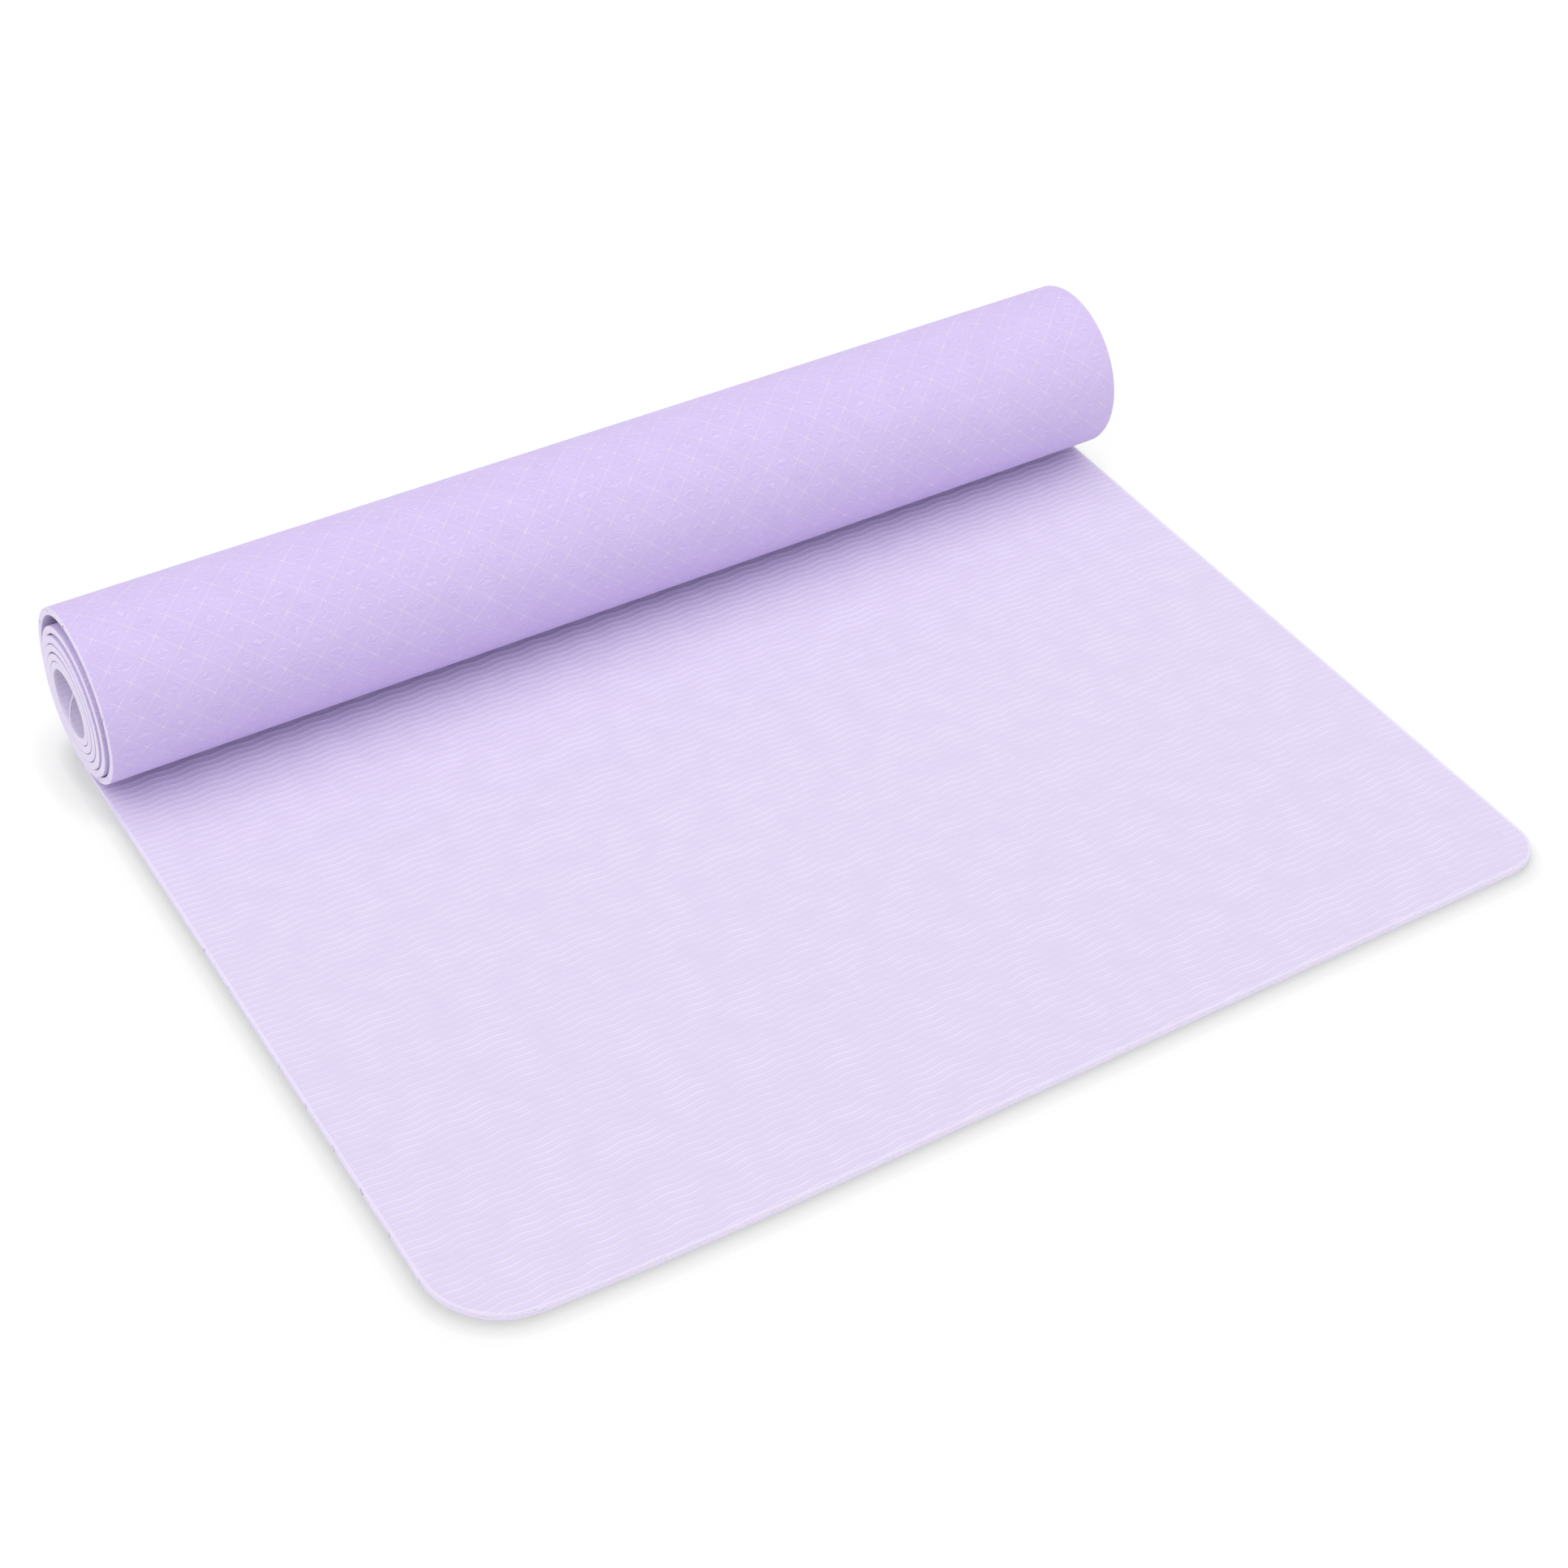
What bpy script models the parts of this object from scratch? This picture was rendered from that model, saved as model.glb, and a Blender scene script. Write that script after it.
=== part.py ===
"""A foam yoga mat, partly unrolled: a flat stretch in front and the rest wound into a loose roll.

X runs across the mat, Y from its front edge towards the roll, Z up from the floor, in metres.
The origin is on the floor, under the middle of the whole object.
The mat is one sheet of foam. It is built as spans of that sheet, and neighbours meet along a bend line.
On the flat stretch the quilted face lies on the floor and the ribbed face looks up.
On the roll the quilted face is outside, so the roll opens about lines on the quilted face,
and the front end curls up about lines on the ribbed face.
"""

import math
from collections import namedtuple

import bmesh
import bpy
import numpy as np

# The sheet
mat_width = 0.610
foam_thickness = 0.0038
left_corner_radius = 0.038
right_corner_radius = 0.021
corner_step_degrees = 11.25

# The flat stretch, from the front edge to the line where the roll touches the floor
flat_length = 0.4257
curling_length = 0.290
curling_span_count = 10

# The winding, by the radius of its quilted face about the middle of the roll
inner_end_radius = 0.0195
wound_degrees = 2270
turn_clearance = 0.0005
sag = 0.0006
winding_step_degrees = 0.5
lead_in_degrees = 2

# Extra room between one turn and the next, where the roll is loose
outer_turn_gap = 0.0066
second_turn_gap = 0.0015
third_turn_gap = 0.0008
fourth_turn_gap = 0.0010
fifth_turn_gap = 0.0008

# The part of the winding that opens, and how finely the spans follow it
opening_start_degrees = 17
bend_degrees = 30
opening_span_count = 12
span_facet_degrees = 3
coil_facet_degrees = 4
coil_least_facet_degrees = 1
bend_line_gap = 0.0003
least_turn_gap = 0.0004

# A gap is zero outside its two angles, and a lean under 1 moves its widest place towards the first
LooseGap = namedtuple("LooseGap", "depth start_degrees end_degrees lean")
loose_gaps = (
    LooseGap(outer_turn_gap, 88, 342, 0.75),
    LooseGap(second_turn_gap, 480, 690, 0.8),
    LooseGap(third_turn_gap, 672, 860, 1),
    LooseGap(fourth_turn_gap, 1195, 1400, 0.8),
    LooseGap(fifth_turn_gap, 1392, 1580, 1),
)

turn_pitch = foam_thickness + turn_clearance
full_turn = 360
quarter_turn = full_turn / 4
opening_end_degrees = opening_start_degrees + bend_degrees * opening_span_count


def quilted_radius(angle):
    """The radius of the quilted face, at an angle in degrees from where the roll leaves the floor."""
    radius = inner_end_radius + turn_pitch * (wound_degrees - angle) / full_turn
    radius -= sag * np.cos(np.radians(2 * angle))
    turns_inside = math.ceil(wound_degrees / full_turn)
    for gap in loose_gaps:
        for turn in range(turns_inside):
            along = (angle + full_turn * turn - gap.start_degrees) / (gap.end_degrees - gap.start_degrees)
            radius += gap.depth * np.sin(math.pi * np.clip(along, 0, 1) ** gap.lean) ** 2
    return radius


def wind_sheet():
    """The winding's angles, its quilted face as (Y, Z) points, and its normals towards the ribbed face."""
    angles = np.arange(-lead_in_degrees, wound_degrees + winding_step_degrees / 2, winding_step_degrees)
    radius = quilted_radius(angles)
    turned = np.radians(angles)
    points = np.stack([radius * np.sin(turned), -radius * np.cos(turned)], axis=1)
    lowest = int(np.argmin(points[:, 1]))
    points = points[lowest:]
    points = points - points[0]
    along = np.gradient(points, axis=0)
    along /= np.linalg.norm(along, axis=1)[:, None]
    return angles[lowest:] - angles[lowest], points, np.stack([-along[:, 1], along[:, 0]], axis=1)


winding_angles, winding_points, winding_normals = wind_sheet()
roll_back_reach = float(winding_points[:, 0].max())
contact_y = (flat_length - roll_back_reach) / 2
front_y = contact_y - flat_length
wound_length = float(np.linalg.norm(np.diff(winding_points, axis=0), axis=1).sum())


def on_winding(angle):
    """The point (Y, Z) of the quilted face at an angle in degrees, in the object's frame."""
    y = np.interp(angle, winding_angles, winding_points[:, 0])
    z = np.interp(angle, winding_angles, winding_points[:, 1])
    return float(y) + contact_y, float(z)


def angle_past(angle, distance):
    """The winding's angle a short distance along the quilted face past another, or before it if negative."""
    here = np.array(on_winding(angle))
    step = math.copysign(winding_step_degrees, distance)
    there = np.array(on_winding(angle + step))
    return angle + step * abs(distance) / float(np.linalg.norm(there - here))


def edge_inset(distance, radius):
    """How far a side edge is drawn in by its rounded corner, at a distance from the end of the mat."""
    if distance >= radius:
        return 0.0
    return radius - math.sqrt(max(radius**2 - (radius - distance) ** 2, 0))


def across(distance):
    """The X of the left and right edges, at a distance from the nearer end of the mat."""
    left = -mat_width / 2 + edge_inset(distance, left_corner_radius)
    return left, mat_width / 2 - edge_inset(distance, right_corner_radius)


def corner_distances(first, last):
    """Distances from the end of the mat where rounded corners need a point, between two distances."""
    found = []
    for radius in (left_corner_radius, right_corner_radius):
        for turned in np.arange(0, quarter_turn + corner_step_degrees / 2, corner_step_degrees):
            found.append(radius * (1 - math.cos(math.radians(turned))))
    return [distance for distance in sorted(found) if first < distance < last]


def thinned(values, least):
    """Sorted values without those that lie closer than least to the one before, keeping both ends."""
    kept = [values[0]]
    for value in values[1:-1]:
        if value - kept[-1] > least and values[-1] - value > least:
            kept.append(value)
    return kept + [values[-1]]


def foam_material():
    """Matt lavender foam."""
    material = bpy.data.materials.new("lavender_foam")
    material.use_nodes = True
    shader = material.node_tree.nodes["Principled BSDF"]
    shader.inputs["Base Color"].default_value = (0.69, 0.57, 0.90, 1)
    shader.inputs["Roughness"].default_value = 0.75
    shader.inputs["Metallic"].default_value = 0
    return material


def sheet_span(name, rows, bend_line, parent):
    """One span of the sheet, from rows of (left X, right X, Y, Z) on its quilted face."""
    bm = bmesh.new()
    bmesh.ops.create_grid(bm, x_segments=1, y_segments=len(rows) - 1, size=1)
    grid = sorted(bm.verts, key=lambda vertex: (round(vertex.co.y * len(rows)), vertex.co.x))
    for number, (left, right, y, z) in enumerate(rows):
        grid[2 * number].co = (left, y - bend_line[0], z - bend_line[1])
        grid[2 * number + 1].co = (right, y - bend_line[0], z - bend_line[1])
    bm.normal_update()
    mesh = bpy.data.meshes.new(name)
    bm.to_mesh(mesh)
    bm.free()
    mesh.shade_smooth()
    span = bpy.data.objects.new(name, mesh)
    span.data.materials.append(foam)
    mat_collection.objects.link(span)
    foam_layer = span.modifiers.new("foam", "SOLIDIFY")
    foam_layer.thickness = foam_thickness
    foam_layer.offset = 1
    foam_layer.use_even_offset = True
    if parent is None:
        span.location = (0, bend_line[0], bend_line[1])
        return span, bend_line
    parent_object, parent_line = parent
    span.parent = parent_object
    span.location = (0, bend_line[0] - parent_line[0], bend_line[1] - parent_line[1])
    return span, bend_line


def wound_rows(start_degrees, end_degrees, facet_degrees, free_end):
    """Rows along the winding between two bend lines, each half a gap short of its line."""
    first = angle_past(start_degrees, bend_line_gap / 2)
    last = end_degrees if free_end else angle_past(end_degrees, -bend_line_gap / 2)
    count = max(1, round((last - first) / facet_degrees))
    angles = list(np.linspace(first, last, count + 1))
    if free_end:
        reach = max(left_corner_radius, right_corner_radius)
        run = np.linalg.norm(np.diff(winding_points, axis=0), axis=1)
        to_end = np.concatenate([np.cumsum(run[::-1])[::-1], [0]])
        in_corner = [0.0, *corner_distances(0, reach), reach]
        angles += [float(np.interp(-distance, -to_end, winding_angles)) for distance in in_corner]
        angles = thinned(sorted(set(angles)), coil_least_facet_degrees)
        distances = np.interp(angles, winding_angles, to_end)
    else:
        distances = [mat_width] * len(angles)
    return [(*across(distance), *on_winding(angle)) for angle, distance in zip(angles, distances)]


def flat_rows(start_y, end_y):
    """Rows along the flat stretch between two places, with a rounded corner's points where it has one."""
    start, end = start_y - front_y, end_y - front_y
    distances = thinned([start, *corner_distances(start, end), end], bend_line_gap)
    return [(*across(distance), front_y + distance, 0) for distance in distances]


def make_floor_strip():
    """The strip under and just before the roll, which the roll and the curling end both leave."""
    start = front_y + curling_length + bend_line_gap / 2
    rows = flat_rows(start, contact_y)
    lifted = wound_rows(0, opening_start_degrees, span_facet_degrees, False)
    return sheet_span("floor_strip", rows + lifted[1:], (contact_y, 0), None)


def make_opening_spans(floor_strip):
    """The spans of the outer turn, each hinged to the one before on the quilted face."""
    parent = floor_strip
    for number in range(opening_span_count):
        start = opening_start_degrees + bend_degrees * number
        rows = wound_rows(start, start + bend_degrees, span_facet_degrees, False)
        parent = sheet_span(f"outer_turn_span_{number + 1:02d}", rows, on_winding(start), parent)
    return parent


def make_inner_coil(last_span):
    """The inner turns, which stay wound, out to the mat's inner end."""
    end_degrees = wound_degrees - coil_least_facet_degrees
    rows = wound_rows(opening_end_degrees, end_degrees, coil_facet_degrees, True)
    return sheet_span("inner_coil", rows, on_winding(opening_end_degrees), last_span)


def make_curling_spans(floor_strip):
    """The spans of the front end, each hinged to the one behind it on the ribbed face."""
    span_length = curling_length / curling_span_count
    parent = floor_strip
    for number in range(curling_span_count):
        end = front_y + curling_length - span_length * number
        start = end - span_length
        free_end = number == curling_span_count - 1
        rows = flat_rows(start if free_end else start + bend_line_gap / 2, end - bend_line_gap / 2)
        name = "front_edge_span" if free_end else f"front_span_{number + 1:02d}"
        parent = sheet_span(name, rows, (end, foam_thickness), parent)


def least_gap_between_turns():
    """The least distance from a turn's ribbed face to the quilted face of the turn inside it."""
    ribbed = winding_points + winding_normals * foam_thickness
    half_turn = round(full_turn / 2 / winding_step_degrees)
    least = math.inf
    for index in range(len(ribbed) - half_turn):
        inside = winding_points[index + half_turn :] - ribbed[index]
        least = min(least, float(np.hypot(inside[:, 0], inside[:, 1]).min()))
    return least


def clear_scene():
    for old in list(bpy.data.objects):
        bpy.data.objects.remove(old, do_unlink=True)


clear_scene()
mat_collection = bpy.data.collections.new("yoga_mat")
bpy.context.scene.collection.children.link(mat_collection)
foam = foam_material()
strip = make_floor_strip()
make_inner_coil(make_opening_spans(strip))
make_curling_spans(strip)
turn_gap = least_gap_between_turns()
print(f"wound length {wound_length:.4f} m, whole mat {wound_length + flat_length:.4f} m")
print(f"least gap between turns {turn_gap * 1000:.2f} mm, wanted over {least_turn_gap * 1000:.2f} mm")
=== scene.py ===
"""The looks of a foam yoga mat, partly unrolled, on a white floor.

X runs across the mat, Y from its front edge towards the roll, Z up, in metres.
Every place on the mat is given by x across it, s along its quilted face from the front edge,
and a height above that face towards the ribs.
"""

import math

import bpy
import numpy as np
from mathutils import Matrix, Vector


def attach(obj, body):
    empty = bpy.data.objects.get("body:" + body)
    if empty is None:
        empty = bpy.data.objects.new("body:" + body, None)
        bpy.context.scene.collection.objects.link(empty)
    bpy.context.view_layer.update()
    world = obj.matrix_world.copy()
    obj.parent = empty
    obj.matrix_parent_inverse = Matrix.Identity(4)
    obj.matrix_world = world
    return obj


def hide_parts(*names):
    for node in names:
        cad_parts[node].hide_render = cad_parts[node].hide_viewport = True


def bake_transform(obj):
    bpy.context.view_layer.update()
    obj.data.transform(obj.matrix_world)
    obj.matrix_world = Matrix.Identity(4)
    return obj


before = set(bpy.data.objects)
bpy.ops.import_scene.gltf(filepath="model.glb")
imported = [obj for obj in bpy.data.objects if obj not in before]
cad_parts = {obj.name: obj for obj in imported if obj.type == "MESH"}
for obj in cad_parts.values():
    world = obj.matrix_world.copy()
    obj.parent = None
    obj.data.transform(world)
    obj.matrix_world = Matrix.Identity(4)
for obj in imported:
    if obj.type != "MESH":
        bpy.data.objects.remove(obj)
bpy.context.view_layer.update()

# ---------------------------------------------------------------------------------------------
# The stretch on the floor: closed-cell foam, 4 mm thick, with ribs pressed into the face that
# looks up and diamond quilting into the face below. It runs from where the front end curls up
# to where the roll starts, and its side edges are die-cut.
# ---------------------------------------------------------------------------------------------
mat_width = 0.610
foam_thickness = 0.0038
flat_length = 0.4257
left_corner_radius = 0.038
right_corner_radius = 0.021

# The winding, by the radius of its quilted face about the middle of the roll
inner_end_radius = 0.0195
wound_degrees = 2270
turn_clearance = 0.0005
turn_pitch = foam_thickness + turn_clearance
sag = 0.0006
winding_step_degrees = 0.25
lead_in_degrees = 2
full_turn = 360

# Each loose gap: its depth, the angles where it starts and ends, and its lean
loose_gaps = (
    (0.0066, 88, 342, 0.75),
    (0.0015, 480, 690, 0.8),
    (0.0008, 672, 860, 1),
    (0.0010, 1195, 1400, 0.8),
    (0.0008, 1392, 1580, 1),
)


def quilted_radius(angle):
    """The radius of the quilted face, at degrees from where the roll leaves the floor."""
    radius = inner_end_radius + turn_pitch * (wound_degrees - angle) / full_turn
    radius -= sag * np.cos(np.radians(2 * angle))
    for depth, start, end, lean in loose_gaps:
        for turn in range(math.ceil(wound_degrees / full_turn)):
            along = np.clip((angle + full_turn * turn - start) / (end - start), 0, 1)
            radius += depth * np.sin(math.pi * along**lean) ** 2
    return radius


def wind_sheet():
    """The winding's angles, the sheet wound by each, and its quilted face as (Y, Z) points."""
    last = wound_degrees + winding_step_degrees / 2
    angles = np.arange(-lead_in_degrees, last, winding_step_degrees)
    radius = quilted_radius(angles)
    turned = np.radians(angles)
    points = np.stack([radius * np.sin(turned), -radius * np.cos(turned)], axis=1)
    lowest = int(np.argmin(points[:, 1]))
    points = points[lowest:] - points[lowest]
    run = np.concatenate([[0], np.cumsum(np.linalg.norm(np.diff(points, axis=0), axis=1))])
    return angles[lowest:] - angles[lowest], run, points


winding_angles, winding_run, winding_points = wind_sheet()
contact_y = (flat_length - float(winding_points[:, 0].max())) / 2
sheet_length = flat_length + float(winding_run[-1])
winding_along = np.gradient(winding_points, axis=0)
winding_along /= np.linalg.norm(winding_along, axis=1)[:, None]

# The inner turns have slid a little towards the left end
slide_start = flat_length + 0.34
slide_depth = 0.0032
slide_run = 0.25


def length_at(angle):
    """How far along the sheet an angle of the winding is."""
    return flat_length + float(np.interp(angle, winding_angles, winding_run))


def direction_along(s):
    """The sheet's own direction at s, as its Y and Z parts."""
    wound = np.maximum(s - flat_length, 0)
    y = np.where(s < flat_length, 1.0, np.interp(wound, winding_run, winding_along[:, 0]))
    z = np.where(s < flat_length, 0.0, np.interp(wound, winding_run, winding_along[:, 1]))
    return y, z


def place(x, s, height):
    """Points in the object's frame for places on the sheet."""
    wound = np.maximum(s - flat_length, 0)
    flat = np.minimum(s - flat_length, 0)
    y = contact_y + flat + np.interp(wound, winding_run, winding_points[:, 0])
    z = np.interp(wound, winding_run, winding_points[:, 1])
    along_y, along_z = direction_along(s)
    slid = slide_depth * (1 - np.exp(-np.maximum(s - slide_start, 0) / slide_run))
    return np.stack([x - slid, y - along_z * height, z + along_y * height], axis=-1)


# The die leaves a small round on the foam's edges. Within the reach of a side, the mesh follows
# its round corners.
edge_round = 0.00035
corner_reach = 0.09


def drawn_in(to_end, radius):
    """How far a side edge lies inside the mat's width, to_end from the sheet's nearer end."""
    inner = radius - edge_round
    arc = radius - np.sqrt(np.maximum(inner**2 - (radius - to_end) ** 2, 0))
    return np.where(to_end < radius, arc, edge_round)


# The ribs: one every 4.1 mm, waving from side to side all together. Their heights are measured
# from the plain foam's face, and a flat rim runs along the cut edge.
rib_pitch = 0.0041
first_rib = 0.0023
rib_foot = 0.00058
rib_shoulder = 0.00014
rib_top = 0.00019
rib_valley = -0.00014
rib_foot_height = rib_valley + 0.00005
rib_wave_length = 0.0219
rib_wave_depth = 0.0006
wave_fade = 0.002
least_rib_step = 0.0003
rim_lip = 0.00010
rim_height = foam_thickness + rim_lip
rim_width = 0.0007
beside_rim = mat_width / 2 - rim_width
rib_column_count = 225
rib_columns = np.concatenate(
    [[-mat_width / 2], np.linspace(-beside_rim, beside_rim, rib_column_count), [mat_width / 2]]
)
plain_column_count = 17
plain_columns = np.linspace(-mat_width / 2, mat_width / 2, plain_column_count)

# The quilting: diamonds with a raised line between them, as wide as a tenth of a diamond
diamond_width = 0.0191
diamond_length = 0.0183
steps_per_diamond = 10
quilt_column = diamond_width / steps_per_diamond
quilt_row = diamond_length / steps_per_diamond
least_quilt_step = 0.0005
quilt_line = 0.00006
quilt_line_share = 0.1
quilt_pillow = 0.00005
quilt_reach = int(mat_width / 2 / quilt_column)
quilt_columns = np.concatenate(
    [[-mat_width / 2], quilt_column * np.arange(-quilt_reach, quilt_reach + 1), [mat_width / 2]]
)

# The front edge is cut a little short towards its left corner
front_bow = 0.0065
front_bow_width = 0.17
front_edge_ribs = 3
front_edge_length = first_rib + (front_edge_ribs - 0.5) * rib_pitch


def cut_short(x):
    """How far back the front edge is cut, at a place across the mat."""
    return front_bow * np.clip(1 - (x + mat_width / 2) / front_bow_width, 0, 1) ** 2


def distance_to_end(x, s):
    """How far a place is from the nearer cut end of the sheet."""
    return np.minimum(s - cut_short(x), sheet_length - s)


settling_rounds = 4


def spread(columns, rows, wave_depth):
    """The x and s of a grid of places, rows by columns, kept inside the cut outline."""
    nominal_s = np.asarray(rows, float)[:, None] + 0 * columns[None, :]
    nominal_x = columns[None, :] + 0 * nominal_s
    past_front = np.clip((nominal_s - edge_round) / (front_edge_length - edge_round), 0, 1)
    before_end = np.clip((sheet_length - edge_round - nominal_s) / wave_fade, 0, 1)
    near_left = np.clip(1 - (nominal_x + mat_width / 2) / corner_reach, 0, 1)
    near_right = np.clip(1 - (mat_width / 2 - nominal_x) / corner_reach, 0, 1)
    x, s = nominal_x, nominal_s
    for _ in range(settling_rounds):
        wave = wave_depth * past_front * before_end * np.sin(2 * math.pi * x / rib_wave_length)
        s = nominal_s + wave + (1 - past_front) * cut_short(x)
        to_end = distance_to_end(x, s)
        left = drawn_in(to_end, left_corner_radius) * near_left
        x = nominal_x + left - drawn_in(to_end, right_corner_radius) * near_right
    return x, s


def rib_height(x, s):
    """The ribbed face's height at a place, from the valley between two ribs to the top of one."""
    along = s - rib_wave_depth * np.sin(2 * math.pi * x / rib_wave_length) - first_rib
    off_crest = np.abs(along - rib_pitch * np.round(along / rib_pitch))
    widths = [rib_shoulder, rib_foot, rib_pitch / 2]
    return foam_thickness + np.interp(off_crest, widths, [rib_top, rib_foot_height, rib_valley])


def rib_rows(first, last, to_inner_end=False):
    """Rows from the valley behind one rib to the valley behind another, each an s and a height."""
    rows = [(first_rib + rib_pitch * (first + 0.5), rib_valley)]
    for rib in range(first + 1, last + 1):
        crest = first_rib + rib_pitch * rib
        rows += [
            (crest - rib_foot, rib_foot_height),
            (crest - rib_shoulder, rib_top),
            (crest + rib_shoulder, rib_top),
            (crest + rib_foot, rib_foot_height),
            (crest + rib_pitch / 2, rib_valley),
        ]
    if to_inner_end:
        end = sheet_length - edge_round
        rows = [row for row in rows if row[0] < end - least_rib_step] + [(end, rib_valley)]
    return np.array([[s, foam_thickness + height] for s, height in rows])


def quilt_rows(first, last, from_front=False, to_inner_end=False):
    """Rows of the quilted face between two row numbers, each an s."""
    rows = [quilt_row * row for row in range(first, last + 1)]
    if from_front:
        rows = [edge_round] + [s for s in rows if s > edge_round + least_quilt_step]
    if to_inner_end:
        end = sheet_length - edge_round
        rows = [s for s in rows if s < end - least_quilt_step] + [end]
    return np.array(rows)


def quilt_height(x, s):
    """The quilted face's relief: a raised line round each diamond, and a low pillow inside."""
    first = x / diamond_width + s / diamond_length
    second = x / diamond_width - s / diamond_length
    off_line = np.minimum(np.abs(first - np.round(first)), np.abs(second - np.round(second)))
    line = np.clip(1 - off_line / quilt_line_share, 0, 1)
    return -(quilt_line * line + quilt_pillow * np.sin(math.pi * off_line))


def surface(x, s, height):
    """The points and normals of a grid of places, with the normals towards the ribbed side."""
    points = place(x, s, height)
    across = np.gradient(points, axis=1)
    along = np.gradient(points, axis=0)
    normals = np.cross(across, along)
    return points, normals / np.linalg.norm(normals, axis=2)[..., None]


def join(near, far):
    """Triangles between two lines of points, each line as (numbers, shares of its length)."""
    (near, near_at), (far, far_at) = near, far
    i = j = 0
    triangles = []
    while i < len(near) - 1 or j < len(far) - 1:
        far_done = j == len(far) - 1
        if far_done or (i < len(near) - 1 and near_at[i + 1] <= far_at[j + 1]):
            triangles.append((near[i], far[j], near[i + 1]))
            i += 1
        else:
            triangles.append((near[i], far[j], far[j + 1]))
            j += 1
    return np.array(triangles)


# The rims of the two faces meet near the middle of the cut edge, this share of the foam apart
seam_share = 0.05


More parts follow.
